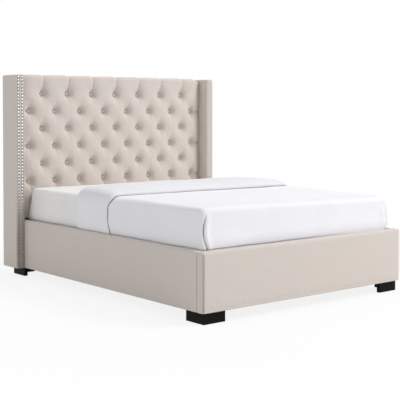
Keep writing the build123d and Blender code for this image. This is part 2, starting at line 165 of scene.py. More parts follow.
def cloth_plane(look):
    """Two coordinates, in metres, in the plane of the cloth: along the face that is looked at."""
    across, along, up = [look.math("ABSOLUTE", part) for part in look.split(look.facing)]
    x, y, z = look.split(look.place)
    on_side = look.math("GREATER_THAN", across, look.math("MAXIMUM", along, up))
    on_top = look.math("GREATER_THAN", up, look.math("MAXIMUM", across, along))
    first = look.math("ADD", x, look.math("MULTIPLY", on_side, look.math("SUBTRACT", y, x)))
    second = look.math("ADD", z, look.math("MULTIPLY", on_top, look.math("SUBTRACT", y, z)))
    return first, second


def flat_place(look, first, second):
    """Two plane coordinates as one place."""
    return look.add("ShaderNodeCombineXYZ", {0: first, 1: second}).outputs[0]


def plain_weave(look, first, second, pitch):
    """The height of a plain weave, whose threads pass over and under each other."""
    warp = look.math("MULTIPLY", first, math.pi / pitch)
    weft = look.math("MULTIPLY", second, math.pi / pitch)
    over = look.math("MULTIPLY", look.math("SINE", warp), look.math("SINE", weft))
    warp_side = look.math("ABSOLUTE", look.math("COSINE", warp))
    weft_side = look.math("ABSOLUTE", look.math("COSINE", weft))
    under = look.math("MULTIPLY", look.math("MULTIPLY", warp_side, weft_side), 0.8)
    return look.math("ADD", look.math("ABSOLUTE", over), under)


def linen(name, base, light, dark, thread=0.0011):
    """Coarse oatmeal linen: a plain weave with slubs both ways and soft mottling."""
    look = Look(name, 0.95, sheen=0.25, specular=0.2)
    first, second = cloth_plane(look)
    plane = flat_place(look, first, second)
    across = look.noise(look.scaled(plane, (28.0, 620.0, 1.0)), 1.0, 2.0, 0.6)
    upright = look.noise(look.scaled(plane, (620.0, 22.0, 1.0)), 1.0, 2.0, 0.6)
    slubs = look.math("MULTIPLY", look.math("ADD", across, upright), 0.5)
    weave = plain_weave(look, first, second, thread)
    mottle = look.noise(look.place, 9.0, 3.0)
    colour = look.blend(look.ramp(slubs, 0.36, 0.62), dark, light)
    colour = look.blend(look.ramp(mottle, 0.3, 0.7, 0.25, 0.75), colour, base)
    colour = look.blend(look.ramp(weave, 0.1, 1.0, 0.22, 0.0), colour, dark)
    # Painted shade where the form notes it, in a near-black linen brown.
    colour = look.with_painted_shade(colour, (0.1, 0.085, 0.075))
    normal = look.relief(weave, 0.0003, 0.5)
    normal = look.relief(slubs, 0.0008, 0.45, normal)
    return look.paint(colour, normal)


def cotton(name, base, shade, thread, crease):
    """Fine bed linen: a close weave with faint creases, and painted shade inside the deep ones."""
    look = Look(name, 0.88, sheen=0.12, specular=0.25)
    first, second = cloth_plane(look)
    weave = plain_weave(look, first, second, thread)
    waves = look.noise(look.place, 5.5, 3.0, 0.55)
    folds = look.noise(look.scaled(look.place, (3.0, 7.0, 11.0)), 1.6, 4.0, 0.6)
    colour = look.blend(look.ramp(waves, 0.3, 0.7), shade, base)
    # Painted shade inside the deep creases, in a near-black grey.
    colour = look.with_painted_shade(colour, (0.1, 0.1, 0.11))
    normal = look.relief(weave, 0.00015, 0.3)
    normal = look.relief(folds, crease, 0.5, normal)
    return look.paint(colour, normal)


def timber(name, light, dark, run):
    """Sawn softwood with its grain along one axis: 0 is X, 1 is Y and 2 is Z."""
    look = Look(name, 0.6, specular=0.35)
    stretch = [26.0, 26.0, 26.0]
    stretch[run] = 1.1
    place = look.scaled(look.place, stretch)
    rings = look.noise(place, 1.0, 4.0, 0.6)
    bands = look.math("FRACT", look.math("MULTIPLY", rings, 7.0))
    pores = look.noise(look.scaled(place, (6.0, 6.0, 6.0)), 1.0, 2.0, 0.7)
    colour = look.blend(look.ramp(bands, 0.0, 1.0, 0.15, 0.9), light, dark)
    colour = look.blend(look.ramp(pores, 0.35, 0.6, 0.35, 0.0), colour, dark)
    dullness = look.ramp(rings, 0.3, 0.7, 0.6, 0.75)
    return look.paint(colour, look.relief(pores, 0.0004, 0.5), dullness)


PLIES_PER_METRE = 330.0


def plywood(name, light, dark, thickness_axis):
    """Plywood: face grain, and plies that show as stripes along its cut edges."""
    look = Look(name, 0.7, specular=0.3)
    depth = look.split(look.place)[thickness_axis]
    plies = look.math("FRACT", look.math("MULTIPLY", depth, PLIES_PER_METRE))
    grain = look.noise(look.scaled(look.place, (8.0, 8.0, 60.0)), 1.0, 4.0, 0.6)
    colour = look.blend(look.ramp(grain, 0.3, 0.7, 0.0, 0.6), light, dark)
    stripes = look.math("MULTIPLY", look.math("GREATER_THAN", plies, 0.5), 0.35)
    colour = look.blend(stripes, colour, dark)
    return look.paint(colour, look.relief(grain, 0.0004, 0.4))


def black_stain():
    """Black-stained wood with a low sheen, its grain just showing."""
    look = Look("black_stained_wood", 0.5, specular=0.06)
    grain = look.noise(look.scaled(look.place, (9.0, 9.0, 150.0)), 1.0, 4.0, 0.65)
    wear = look.noise(look.place, 35.0, 3.0)
    colour = look.blend(look.ramp(grain, 0.3, 0.7), (0.005, 0.0045, 0.004), (0.009, 0.0085, 0.008))
    colour = look.blend(look.ramp(wear, 0.58, 0.75, 0.0, 0.3), colour, (0.016, 0.015, 0.014))
    dullness = look.ramp(grain, 0.3, 0.7, 0.36, 0.55)
    return look.paint(colour, look.relief(grain, 0.0003, 0.6), dullness)


def pewter():
    """Aged pewter in patches: bright domes, their rims dark with tarnish and painted shade, and painted
    shade towards the floor.
    """
    look = Look("aged_pewter", 0.32, metallic=1.0)
    patches = look.noise(look.place, 420.0, 3.0, 0.6)
    colour = look.blend(look.ramp(patches, 0.38, 0.62), (0.8, 0.78, 0.74), (0.97, 0.95, 0.91))
    # The rims, which face aside, go near-black: partly tarnish, partly painted shade.
    crown = look.ramp(look.math("ABSOLUTE", look.split(look.facing)[1]), 0.845, 0.915)
    colour = look.blend(crown, (0.03, 0.026, 0.022), colour)
    # Painted shade on the nails towards the floor.
    shade_near_floor = look.ramp(look.split(look.place)[2], 0.3, 0.68, 0.8, 0.0)
    colour = look.blend(shade_near_floor, colour, (0.19, 0.165, 0.14))
    normal = look.relief(look.noise(look.place, 700.0, 2.0), 0.0002, 0.4)
    dullness = look.ramp(patches, 0.3, 0.7, 0.42, 0.25)
    return look.paint(colour, normal, dullness)


def zinc():
    """Zinc-plated steel with faint spangles."""
    look = Look("zinc_plated_steel", 0.4, metallic=1.0)
    spangle = look.add("ShaderNodeTexVoronoi", {"Vector": look.place, "Scale": 160.0})
    shade = look.math("MULTIPLY", spangle.outputs["Distance"], 1.4)
    colour = look.blend(look.ramp(shade, 0.0, 1.0), (0.62, 0.63, 0.65), (0.48, 0.49, 0.51))
    scratches = look.noise(look.scaled(look.place, (900.0, 60.0, 60.0)), 1.0, 2.0)
    dullness = look.ramp(shade, 0.0, 1.0, 0.34, 0.5)
    return look.paint(colour, look.relief(scratches, 0.0001, 0.5), dullness)


def moulded_plastic():
    """Black moulded plastic with a fine texture."""
    look = Look("black_moulded_plastic", 0.5, specular=0.45)
    grain = look.noise(look.place, 1500.0, 2.0)
    colour = look.blend(grain, (0.018, 0.018, 0.019), (0.032, 0.032, 0.033))
    return look.paint(colour, look.relief(grain, 0.0001, 0.6))


def webbing():
    """Black woven tape with ribs across it."""
    look = Look("black_webbing", 0.85, sheen=0.2, specular=0.2)
    first, second = cloth_plane(look)
    ribs = plain_weave(look, first, second, 0.0022)
    colour = look.blend(look.ramp(ribs, 0.0, 1.0), (0.01, 0.01, 0.011), (0.035, 0.035, 0.037))
    return look.paint(colour, look.relief(ribs, 0.0004, 0.8))


def ticking():
    """Mattress ticking: white damask with a faint lozenge figure."""
    look = Look("mattress_ticking", 0.8, sheen=0.2, specular=0.25)
    first, second = cloth_plane(look)
    figure = plain_weave(look, first, second, 0.035)
    weave = plain_weave(look, first, second, 0.0009)
    colour = look.blend(look.ramp(figure, 0.35, 0.65), (0.74, 0.73, 0.71), (0.82, 0.81, 0.79))
    normal = look.relief(weave, 0.0002, 0.4)
    return look.paint(colour, look.relief(figure, 0.003, 0.5, normal))


OATMEAL = ((0.655, 0.593, 0.548), (0.71, 0.648, 0.603), (0.57, 0.508, 0.463))
IVORY = ((0.865, 0.86, 0.85), (0.835, 0.83, 0.82))
COOL_WHITE = ((0.86, 0.858, 0.895), (0.835, 0.833, 0.87))
PINE_COLOURS = ((0.62, 0.44, 0.25), (0.46, 0.29, 0.14))
PLY_COLOURS = ((0.6, 0.43, 0.26), (0.4, 0.26, 0.14))

LINEN = linen("oatmeal_linen", *OATMEAL)
BUTTON_LINEN = linen("button_linen", *OATMEAL, 0.0009)
SHEET_COTTON = cotton("fitted_sheet_cotton", *IVORY, 0.0006, 0.003)
QUILT_COTTON = cotton("quilt_cotton", *COOL_WHITE, 0.0007, 0.004)
TICKING = ticking()
BLACK_STAIN = black_stain()
PEWTER = pewter()
ZINC = zinc()
PLASTIC = moulded_plastic()
WEBBING = webbing()
PINE = [timber(f"pine_along_{axis}", *PINE_COLOURS, run) for run, axis in enumerate("xyz")]
PLY = [plywood(f"plywood_{axis}", *PLY_COLOURS, side) for side, axis in enumerate("xy")]


# --- Making pieces ---

FINE_CUT = 0.0025  # between the cuts where a form is shaped finely
EVEN_CUT = 0.035  # between the cuts on its flats
MERGED = 1e-6  # points that are closer than this become one


def smooth(value):
    """An even passage from 0 to 1."""
    value = min(max(value, 0.0), 1.0)
    return value * value * (3 - 2 * value)


def block(low, high):
    """A closed box between two corners."""
    form = bmesh.new()
    bmesh.ops.create_cube(form, size=1.0)
    bmesh.ops.scale(form, vec=Vector(high) - Vector(low), verts=form.verts)
    bmesh.ops.translate(form, vec=(Vector(high) + Vector(low)) / 2, verts=form.verts)
    return form


def cut(form, axis, places):
    """Cuts the faces along planes across one axis."""
    normal = Vector((0, 0, 0))
    normal[axis] = 1
    for place in places:
        point = Vector((0, 0, 0))
        point[axis] = place
        everything = form.verts[:] + form.edges[:] + form.faces[:]
        bmesh.ops.bisect_plane(form, geom=everything, plane_co=point, plane_no=normal, dist=MERGED)


def cut_places(low, high, radius, spacing, steps=5):
    """Cuts close together within a radius of each end, and even in between."""
    near = [radius * step / steps for step in range(1, steps + 1)]
    count = max(2, round((high - low - 2 * radius) / spacing))
    flat = [low + radius + (high - low - 2 * radius) * step / count for step in range(1, count)]
    return [low + r for r in near] + flat + [high - r for r in near]


def radius_at(radius, *place):
    """A radius that is one number, or that follows from the place."""
    return radius(*place) if callable(radius) else radius


def edge_angle(inset, drop, radius):
    """Where on a rounded edge a box's point goes: 0 on its side face and a right angle on top."""
    if inset < drop:
        return math.pi / 4 * (1 - drop / radius)
    return math.pi / 4 * (1 + inset / radius)


def soften(point, low, high, radii):
    """Moves one point of a box's surface onto its rounded corners and edges."""
    x, y, z = point.co
    on_right = x > (low[0] + high[0]) / 2
    on_back = y > (low[1] + high[1]) / 2
    inset_x = high[0] - x if on_right else x - low[0]
    inset_y = high[1] - y if on_back else y - low[1]
    inset = min(inset_x, inset_y)
    corner = radius_at(radii[0], z)
    upper = radius_at(radii[1], x, y)
    lower = radii[2]
    new_inset = inset
    if high[2] - z < upper and inset < upper:
        turn = edge_angle(inset, high[2] - z, upper)
        new_inset = upper * (1 - math.cos(turn))
        z = high[2] - upper * (1 - math.sin(turn))
    elif z - low[2] < lower and inset < lower:
        turn = edge_angle(inset, z - low[2], lower)
        new_inset = lower * (1 - math.cos(turn))
        z = low[2] + lower * (1 - math.sin(turn))
    if inset_x < corner and inset_y < corner:
        turn = math.atan2(corner - inset_y, corner - inset_x)
        inset_x = corner - max(corner - new_inset, 0.0) * math.cos(turn)
        inset_y = corner - max(corner - new_inset, 0.0) * math.sin(turn)
    elif inset_x < inset_y:
        inset_x = new_inset
    else:
        inset_y = new_inset
    x = high[0] - inset_x if on_right else low[0] + inset_x
    y = high[1] - inset_y if on_back else low[1] + inset_y
    point.co = (x, y, z)


def soft_block(low, high, radii, cuts):
    """A box cut along planes across each axis, and rounded by three radii: of its upright
    corners, its upper edges and its lower edges."""
    form = block(low, high)
    for axis in range(3):
        cut(form, axis, cuts[axis])
    for point in form.verts:
        soften(point, low, high, radii)
    bmesh.ops.remove_doubles(form, verts=form.verts, dist=MERGED)
    form.normal_update()
    return form


def displace(form, height):
    """Moves each point outwards by what a function of its place and direction gives."""
    form.normal_update()
    moves = [(point, point.normal * height(point.co, point.normal)) for point in form.verts]
    for point, move in moves:
        point.co += move


def take_away(form, unwanted):
    """Takes away the faces that are unwanted for where their middle lies."""
    gone = [face for face in form.faces if unwanted(face.calc_center_median())]
    bmesh.ops.delete(form, geom=gone, context="FACES")


def stand(name, data, place=(0.0, 0.0, 0.0), turn=(0.0, 0.0, 0.0)):
    """Puts a new object in the scene."""
    thing = bpy.data.objects.new(name, data)
    thing.location = place
    thing.rotation_euler = turn
    scene.collection.objects.link(thing)
    return thing


def make_piece(name, form, finish, stands_for=(), body="bed_frame"):
    """Turns a form into a named piece that rides on a body."""
    bmesh.ops.recalc_face_normals(form, faces=form.faces)
    mesh = bpy.data.meshes.new(name)
    form.to_mesh(mesh)
    form.free()
    mesh.materials.append(finish)
    mesh.shade_smooth()
    piece = stand(name, mesh)
    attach(piece, body)
    if stands_for:
        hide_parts(*stands_for)
    return piece


def thicken(piece, thickness):
    """Gives an open shell its thickness, inwards."""
    solid = piece.modifiers.new("thickness", "SOLIDIFY")
    solid.thickness = thickness
    solid.offset = -1


def note_painted_shade(form, depth):
    """Notes for the finish how much painted shade each point gets, from 0 to 1, by its place and
    direction.
    """
    # The painted shade is kept in the attribute named crease.
    layer = form.verts.layers.float.new("crease")
    for point in form.verts:
        point[layer] = depth(point.co, point.normal)


# --- Tufted headboard ---

BUTTON_RADIUS = 0.012
LONG_ROW_BUTTONS = 8
BUTTON_ROWS = 6
LAST_BUTTON_X = BUTTONS_HIGH.x - BUTTON_RADIUS
TOP_ROW_Z = BUTTONS_HIGH.z - BUTTON_RADIUS
BOTTOM_ROW_Z = BUTTONS_LOW.z + BUTTON_RADIUS
BUTTON_PITCH = 2 * LAST_BUTTON_X / (LONG_ROW_BUTTONS - 1)
ROW_SPACING = (TOP_ROW_Z - BOTTOM_ROW_Z) / (BUTTON_ROWS - 1)

SEAT_DEPTH = 0.04  # from the pad's nominal face back to a button's seat
PUFF_RISE = 0.006  # of the pad's fullest places, proud of that face
SEAT_RADIUS = 0.0145  # of the flat place that a button sits on
PIT_REACH = 0.046  # of the steep pit round a button, from its seat
DIP_REACH = 0.089  # of the wide dip round that pit
DIP_SHARE = 0.3  # of a button's pull that goes into the dip
DIAMOND_CROWN = 0.0035  # of a diamond's middle above its sides
TUCK_DEPTH = 0.0015  # of the short tucks that leave a button along the diamonds' sides
TUCK_WIDTH = 0.006
PLEAT_DEPTH = 0.009  # of the upright pleats above and below a button
PLEAT_WIDTH = 0.024  # the half width of such a pleat
PLEAT_REACH = 0.11  # from the button to such a pleat's end
FOLD_HEIGHT = 0.003  # of the small folds that run out from a button
EDGE_PLEAT_DEPTH = 0.015  # of the straight pleats from the outermost buttons to the pad's edges
EDGE_PLEAT_STEEP = 0.006  # the width of such a pleat's steep wall
EDGE_PLEAT_SOFT = 0.024  # and of its gentle wall
PAD_ROLL = 0.024  # the radius of the pad's upper edge
END_WIDTH = 0.1  # over which the pad's two ends fall back beside the wings
END_DEPTH = 0.04  # how far they do so
PAD_ROWS = 222  # of faces, from the pad's foot to its rolled edge
PAD_COLUMNS = 368
ROLL_STEPS = 10
TOP_STEPS = 16
PAD_GRAIN = 0.0012  # the height of the cover's unevenness
BY_MATTRESS = 0.04  # over which the mattress stops pressing the pad flat


def row_buttons(number):
    """The shift of a row's buttons, in pitches, and its outermost button, from the middle."""
    last = (LONG_ROW_BUTTONS - 1) / 2
    return (0.5, last) if number % 2 else (0.0, last - 0.5)


def beside_row(x, rise, number):
    """The way from the nearest button of a row to a place, as (across, up)."""
    shift, last = row_buttons(number)
    column = round(x / BUTTON_PITCH + shift) - shift
    column = min(max(column, -last), last)
    return x - column * BUTTON_PITCH, rise - (TOP_ROW_Z - number * ROW_SPACING)


def nearest_buttons(x, rise):
    """The ways from the nearest buttons of the two nearest rows."""
    above = math.floor((TOP_ROW_Z - rise) / ROW_SPACING)
    rows = sorted({min(max(number, 0), BUTTON_ROWS - 1) for number in (above, above + 1)})
    return [beside_row(x, rise, number) for number in rows]


def hollow(distance):
    """How far a button pulls the cover in, from 1 at the button to 0: a pit in a wide dip."""
    outward = max(distance - SEAT_RADIUS, 0.0)
    pit = max(0.0, 1 - outward / PIT_REACH) ** 3
    dip = max(0.0, 1 - outward / DIP_REACH) ** 2
    return DIP_SHARE * dip + (1 - DIP_SHARE) * pit


def small_folds(across, up, distance, seed):
    """Short folds that run out from a button, and die away from it."""
    turn = math.atan2(up, across)
    wander = noise.noise(Vector((math.cos(turn) * 2.2, math.sin(turn) * 2.2, seed)))
    apart = noise.noise(Vector((math.cos(turn) * 1.3, math.sin(turn) * 1.3, seed + 5)))
    strength = 0.35 + 1.6 * abs(apart)
    outward = distance - SEAT_RADIUS
    fade = smooth(outward / 0.008) * math.exp(-outward / 0.026)
    return math.sin(12 * turn + 11 * wander) * strength * fade


def pulled(x, rise):
    """What the buttons do to the cover: their hollows, pleats, tucks and small folds."""
    height = 0.0
    for across, up in nearest_buttons(x, rise):
        distance = math.hypot(across, up)
        height -= upright_pleat(across, up)
        if distance < SEAT_RADIUS + DIP_REACH:
            seed = round((x - across) / BUTTON_PITCH * 2) * 3.7 + round((rise - up) / ROW_SPACING) * 9.1
            height -= (SEAT_DEPTH + PUFF_RISE) * hollow(distance)
            if distance > SEAT_RADIUS:
                height += FOLD_HEIGHT * small_folds(across, up, distance, seed)
                height -= tucks(across, up, distance)
    return height


def tucks(across, up, distance):
    """The short tucks from a button towards its four diagonal neighbours."""
    slant = math.hypot(BUTTON_PITCH / 2, ROW_SPACING)
    off_line = abs(abs(across) * ROW_SPACING - abs(up) * BUTTON_PITCH / 2) / slant
    fade = smooth((distance - SEAT_RADIUS) / 0.01) * (1 - smooth((distance - 0.02) / 0.06))
    return TUCK_DEPTH * math.exp(-((off_line / TUCK_WIDTH) ** 2)) * fade


def upright_pleat(across, up):
    """The soft pleat that runs up and down from a button."""
    start = smooth((abs(up) - 0.5 * BUTTON_RADIUS) / 0.02)
    end = 1 - smooth((abs(up) - 0.03) / (PLEAT_REACH - 0.03))
    return PLEAT_DEPTH * math.exp(-abs(across) / PLEAT_WIDTH) * start * end


def edge_pleat(offset):
    """A straight pleat's depth, with its steep wall on the negative side."""
    width = EDGE_PLEAT_SOFT if offset > 0 else EDGE_PLEAT_STEEP
    return EDGE_PLEAT_DEPTH * math.exp(-abs(offset) / width)


def edge_pleats(x, rise):
    """The straight pleats from the outermost buttons to the pad's edges."""
    depth = 0.0
    for number, outward in ((0, rise - TOP_ROW_Z), (BUTTON_ROWS - 1, BOTTOM_ROW_Z - rise)):
        if outward > 0:
            across, _ = beside_row(x, rise, number)
            depth += edge_pleat(across) * smooth((outward - 0.5 * BUTTON_RADIUS) / 0.03)
    outward = abs(x) - LAST_BUTTON_X
    if outward > 0:
        number = 2 * round(((TOP_ROW_Z - rise) / ROW_SPACING - 1) / 2) + 1
        _, up = beside_row(x, rise, min(max(number, 1), BUTTON_ROWS - 1))
        depth += edge_pleat(-up) * smooth((outward - 0.5 * BUTTON_RADIUS) / 0.02)
    return depth


def diamond(x, rise):
    """How far a place inside the tufting lies below its diamond's crown, from 0 to 1."""
    down = (TOP_ROW_Z - rise) / (2 * ROW_SPACING)
    one, other = (x / BUTTON_PITCH + down) % 1.0, (x / BUTTON_PITCH - down) % 1.0
    return 1 - (math.sin(math.pi * one) * math.sin(math.pi * other)) ** 1.1


def tuft_height(x, rise):
    """How far the pad's cover stands out from its face, at a place across and a height up it."""
    wander = Vector((x * 7, rise * 7, 2.0))
    x += 0.003 * noise.noise(wander)
    rise += 0.003 * noise.noise(wander + Vector((0, 0, 6)))
    core_x = min(max(x, -LAST_BUTTON_X), LAST_BUTTON_X)
    core_rise = min(max(rise, BOTTOM_ROW_Z), TOP_ROW_Z)
    inside = 1 - smooth(math.hypot(x - core_x, rise - core_rise) / 0.06)
    below_crown = DIAMOND_CROWN * diamond(core_x, core_rise) * inside
    return PUFF_RISE - below_crown + pulled(x, rise) - edge_pleats(x, rise)


def dressed(x, run):
    """The cover's height: it falls back beside the wings and lies flat by the mattress."""
    turn = max(0.0, 1 - (PAD_HIGH.x - abs(x)) / END_WIDTH)
    coarse = noise.noise(Vector((x * 14, run * 14, 3.1)))
    grain = coarse + 0.5 * noise.noise(Vector((x * 40, run * 28, 7.7)))
    height = tuft_height(x, run) - END_DEPTH * turn**1.8 + PAD_GRAIN * grain
    beside = smooth((MATTRESS_HIGH.x + 0.01 - abs(x)) / BY_MATTRESS)
    pressed = beside * (1 - smooth((run - MATTRESS_HIGH.z + 0.035) / BY_MATTRESS))
    return height - pressed * max(height, 0.0)


def pad_section():
    """Places round the pad's section, as (y, z, outward y, outward z, run up the face)."""
    face_y, top_z, back_y = PAD_LOW.y, PAD_HIGH.z, PAD_HIGH.y
    places = []
    face_top = top_z - PAD_ROLL
    for row in range(PAD_ROWS + 1):
        z = PAD_LOW.z + (face_top - PAD_LOW.z) * row / PAD_ROWS
        places.append((face_y, z, -1.0, 0.0, z))
    for step in range(1, ROLL_STEPS + 1):
        turn = math.pi / 2 * step / ROLL_STEPS
        y = face_y + PAD_ROLL * (1 - math.cos(turn))
        z = face_top + PAD_ROLL * math.sin(turn)
        places.append((y, z, -math.cos(turn), math.sin(turn), face_top + PAD_ROLL * turn))
    top_start = face_y + PAD_ROLL
    for step in range(1, TOP_STEPS + 1):
        y = top_start + (back_y - top_start) * step / TOP_STEPS
        places.append((y, top_z, 0.0, 1.0, face_top + PAD_ROLL * math.pi / 2 + y - top_start))
    for y, z in ((back_y, FRAME_TOP), (BACKER_Y, FRAME_TOP), (BACKER_Y, PAD_LOW.z)):
        places.append((y, z, 0.0, 0.0, 0.0))
    return places


def tufted_headboard():
    """The pad's cover, pulled into a soft hollow by each button."""
    places = pad_section()
    form = bmesh.new()
    bmesh.ops.create_grid(form, x_segments=PAD_COLUMNS, y_segments=len(places), size=0.5)
    for point in form.verts:
        row = round((point.co.y + 0.5) * len(places)) % len(places)
        x = point.co.x * 2 * PAD_HIGH.x
        y, z, out_y, out_z, run = places[row]
        if out_y or out_z:
            height = dressed(x, run)
            fade = smooth((PAD_HIGH.y - y) / 0.05)
            y += out_y * height * (fade if out_z else 1.0)
            z += out_z * (height - PUFF_RISE) * fade
        point.co = (x, y, z)
    bmesh.ops.remove_doubles(form, verts=form.verts, dist=MERGED)
    bmesh.ops.holes_fill(form, edges=form.edges, sides=0)
    piece = make_piece("tufted_headboard", form, LINEN, ["tufted_pad"])


# --- Wings, rails and footboard ---

WING_EDGE = 0.009  # the radius of a wing's corners and of its upper edges
WING_COLUMNS = 48  # of faces, across a wing's front
RAIL_CORNER = 0.004  # the radius of a rail's upright corners
FOOTBOARD_CORNER = 0.014
BOARD_TOP = 0.016  # the radius of the upper edges of the rails and the footboard
BOARD_FOOT = 0.005  # and of every padded board's lower edges
FABRIC_SWELL = 0.0009  # of the fabric on a board's flats
NAIL_RADIUS = 0.0083
NAIL_PAINTED_SHADES = {"left": 0.5, "right": 0.27}  # painted shade on the fabric where the nails press it in
LOW_PAINTED_SHADE = 0.46  # painted shade on the wings' fronts near the floor
LOW_PAINTED_SHADE_FROM = 0.2  # the height up to which the painted shade is full
LOW_PAINTED_SHADE_FADE = 0.45  # above which it takes them this much height to get light
NAIL_PUFF = 0.0012  # how far the wings' fabric stands up between their rows of nails
HEM_RISE = 0.013  # from a board's underside up to its hem stitching
HEM_DEPTH = 0.0011
HEM_WIDTH = 0.002
SEAM_DEPTH = 0.0045  # of the seam down each of the footboard's front corners
SEAM_WIDTH = 0.0055
SEAM_REACH = 0.03  # from the corner, beyond which there is no seam
SEAM_PAINTED_SHADE = 0.3  # how dark the painted shade inside it is


def upholstered(node, corner, edge, cuts_across=()):
    """Fabric over thin foam round a board: a soft box, slightly full, with a hem near its foot."""
    low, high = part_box(node)
    cuts = [cut_places(low[axis], high[axis], edge, EVEN_CUT) for axis in range(3)]
    cuts[0] = list(cuts_across) or cuts[0]
    cuts[2] += [low.z + HEM_RISE + step * FINE_CUT for step in (-1, 0, 1)]
    radii = (corner, edge, BOARD_FOOT)
    form = soft_block(low, high, radii, [sorted(places) for places in cuts])

    def height(place, outward):
        ripple = 1 + 0.5 * noise.noise(place * 6.0) + 0.25 * noise.noise(place * 19.0)
        from_hem = (place.z - low.z - HEM_RISE) / HEM_WIDTH
        hem = HEM_DEPTH * math.exp(-(from_hem**2)) * (1 - abs(outward.z))
        return FABRIC_SWELL * ripple - hem

    displace(form, height)
    return form


def make_wing(word):
    """A wing's cover, full between its rows of nails, with painted shade by them and near the floor."""
    low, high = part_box(f"wing_cover_{word}")
    nails_low, nails_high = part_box(f"wing_nailheads_{word}")
    rows = (nails_low.x + NAIL_RADIUS, nails_high.x - NAIL_RADIUS)
    across = [low.x + (high.x - low.x) * step / WING_COLUMNS for step in range(1, WING_COLUMNS)]
    form = upholstered(f"wing_cover_{word}", WING_EDGE, WING_EDGE, across)

    def by_nails(place, width, power):
        return max(math.exp(-(((place.x - row) / width) ** power)) for row in rows)

    def on_front(place, outward):
        return smooth((place.z - nails_low.z + 0.02) / 0.03) * smooth(-outward.y * 1.4)

    def between_nails(place, outward):
        edge = smooth((min(place.x - low.x, high.x - place.x) - 0.001) / 0.004)
        edge *= smooth((high.z - place.z) / 0.012)
        free = 1 - by_nails(place, 1.15 * NAIL_RADIUS, 4)
        return NAIL_PUFF * free * edge * on_front(place, outward)

    # Painted shade round the nails, and towards the floor on the front.
    def shade(place, outward):
        pressed = by_nails(place, 1.3 * NAIL_RADIUS, 6) * on_front(place, outward)
        near_floor = 1 - smooth((place.z - LOW_PAINTED_SHADE_FROM) / LOW_PAINTED_SHADE_FADE)
        near_floor *= smooth(-outward.y * 1.4)
        return max(NAIL_PAINTED_SHADES[word] * pressed, LOW_PAINTED_SHADE * near_floor)

    displace(form, between_nails)
    note_painted_shade(form, shade)
    name = f"wing_upholstery_{word}"
    make_piece(name, form, LINEN, [f"wing_cover_{word}"])


def make_footboard():
    """The footboard, with a seam down each front corner where two panels of fabric meet."""
    low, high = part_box("footboard_cover")
    form = upholstered("footboard_cover", FOOTBOARD_CORNER, BOARD_TOP)

    def seam(place, outward):
        from_side = high.x - abs(place.x)
        from_front = place.y - low.y
        if max(from_side, from_front) >= SEAM_REACH:
            return 0.0
        off_corner = abs(from_side - from_front) / math.sqrt(2)
        upright = 1 - smooth((place.z - high.z + 0.022) / 0.014)
        return -SEAM_DEPTH * math.exp(-((off_corner / SEAM_WIDTH) ** 2)) * upright

    # Painted shade inside the seam.
    def shade(place, outward):
        return SEAM_PAINTED_SHADE * min(-seam(place, outward) / SEAM_DEPTH, 1.0)

    displace(form, seam)
    note_painted_shade(form, shade)
    piece = make_piece("footboard_upholstery", form, LINEN, ["footboard_cover"])


def make_upholstery():
    """The wings, side rails and footboard in linen."""
    for word in SIDES:
        make_wing(word)
        rail = upholstered(f"side_rail_cover_{word}", RAIL_CORNER, BOARD_TOP)
        name = f"side_rail_upholstery_{word}"
        make_piece(name, rail, LINEN, [f"side_rail_cover_{word}"])
    make_footboard()


# --- Mattress, sheet and quilt ---

SHARP_CORNER = 0.007  # the radius of the mattress's upright corners by the rails
CORNER_GROWTH = 0.08  # how much wider they are at its top
MATTRESS_TOP_EDGE = 0.028
MATTRESS_FOOT_EDGE = 0.02
END_REACH = 0.09  # from the mattress's edges, within which its cuts are close together
MATTRESS_CUT = 0.06  # between the cuts on its flats, which the sheet hides
RAIL_CUT = 0.002  # between the cuts where the bedding passes the rails
TUCK_IN = 0.007  # how far the bedding's sides draw in where they pass the rails
TUCK_HEIGHT = 0.004  # over which they do so, just above the rails
SWELL_RISE = 0.04  # the height above the rails at which the sides are fullest
SWELL_SPREAD = 0.05
SHEET_SWELL = 0.008
QUILT_SWELL = 0.006
UNDER_QUILT = 0.01  # how far the mattress and its sheet give way under the quilt
BY_PAD = 0.007  # how far they give way at the head end, clear of the pad's fullest places
BY_SHEET = 0.0025  # how far the mattress lies within its sheet
SHEET_HEM = 0.012  # from the mattress's underside up to the sheet's open edge
SHEET_THICKNESS = 0.0015
QUILT_THICKNESS = 0.006
BAND_THICKNESS = 0.004
QUILT_GROWTH = 0.0133  # from the mattress's sides and top to the quilt's outside
QUILT_CORNER = 0.03  # the radius of the quilt's corners and upper edges at the foot
BAND_WIDTH = 0.38  # of the turned-back band, along the bed
CREASE_DEPTH = 0.01  # of the quilt's creases, at the band and at the foot's corners
CREASE_WIDTH = 0.0035  # the half width of such a crease, where it is a third as deep
CREASE_PUFF = 0.007  # of the filling on either side of a crease
BAND_RISE = 0.057  # of the turned-back band above the quilt, at its crown
BAND_ROLL = 0.014  # the radius of the band's rolled edges on top
ROLL_START = 0.7  # the height of such an edge's middle, in radii
BAND_SIDE = 0.4  # the share of the band's rise that it keeps on its sides
BAND_TOP_PAINTED_SHADE = 0.11  # how much painted shade the turned-back band gets on top
BAND_BOW = 0.032  # how far the band's foot edge bows towards the head, on the sides
FAR_BULGE = 0.03  # how far the quilt's far foot corner stands out over the rail
FAR_SAG = 0.024  # how far that corner lies below the near one
SAG_AT_HEAD = 0.25  # the share of that sag that goes on up to the head
SAG_LENGTH = 0.75  # along which the rest of it fades


def bedding_noise(place, size):
    """A gentle unevenness of bedding, in metres."""
    return size * (noise.noise(place * 3.2) + 0.5 * noise.noise(place * 9.0 + Vector((4, 1, 7))))


